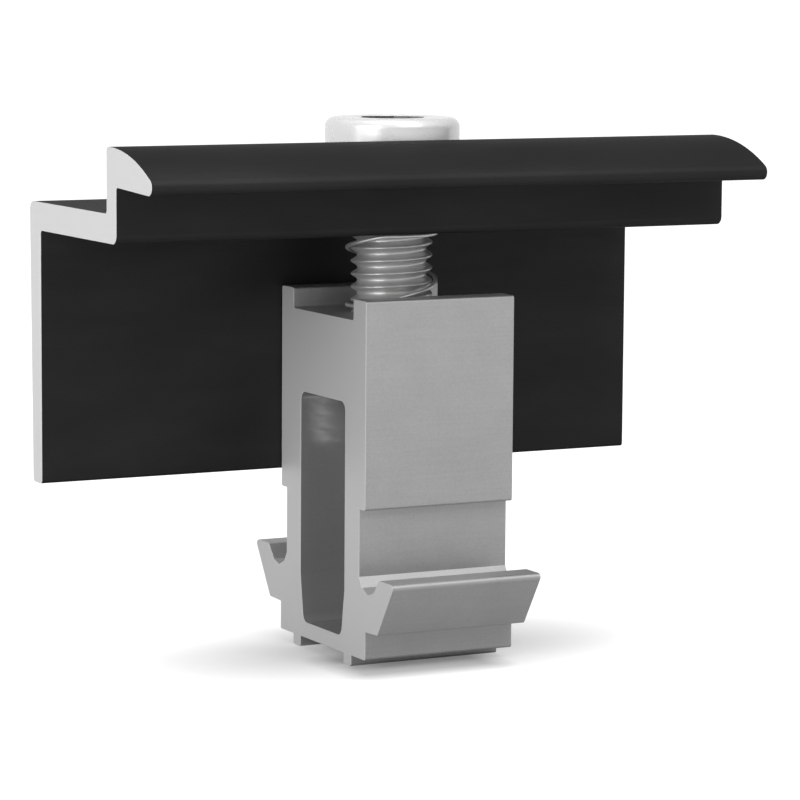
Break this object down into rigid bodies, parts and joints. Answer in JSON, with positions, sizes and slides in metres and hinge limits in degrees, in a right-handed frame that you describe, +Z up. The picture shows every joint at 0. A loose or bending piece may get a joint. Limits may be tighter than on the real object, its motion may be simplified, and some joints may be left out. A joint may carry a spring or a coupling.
{
  "type": "solar end clamp",
  "caption": "Black end clamp strip with lip and long leg, drawn down on a click-in rail block by a socket-head screw, and held up until then by a thin spring round the screw.",
  "frame": {"origin": "on the screw's axis, level with the runners that the block stands on", "axes": "+X along both extrusions, +Y from the module side to the leg, +Z up the screw to its head"},
  "size_m": [0.0646, 0.032, 0.0521],
  "materials": {
    "black_anodised": "satin",
    "plain_aluminium": "matte",
    "stainless": "satin",
    "spring_wire": "satin"
  },
  "bodies": {
    "block": {"click_block": "plain_aluminium", "spring": "spring_wire"},
    "clamp": {"clamp_profile": "black_anodised"},
    "screw": {"clamp_screw": "stainless"}
  },
  "joints": [
    {"name": "clamp_slide", "type": "slide", "parent": "block", "child": "clamp", "axis": [0, 0, 1], "range_m": [-0.006, 0.0025], "deforming": ["spring"]},
    {"name": "screw_turn", "type": "hinge", "parent": "clamp", "child": "screw", "pos_m": [0, 0, 0.0441], "axis": [0, 0, 1], "range_deg": [-1728.1, 720.1]}
  ],
  "couplings": [
    {"joint": "screw_turn", "follows": "clamp_slide", "rad_per_m": 5026.5}
  ]
}
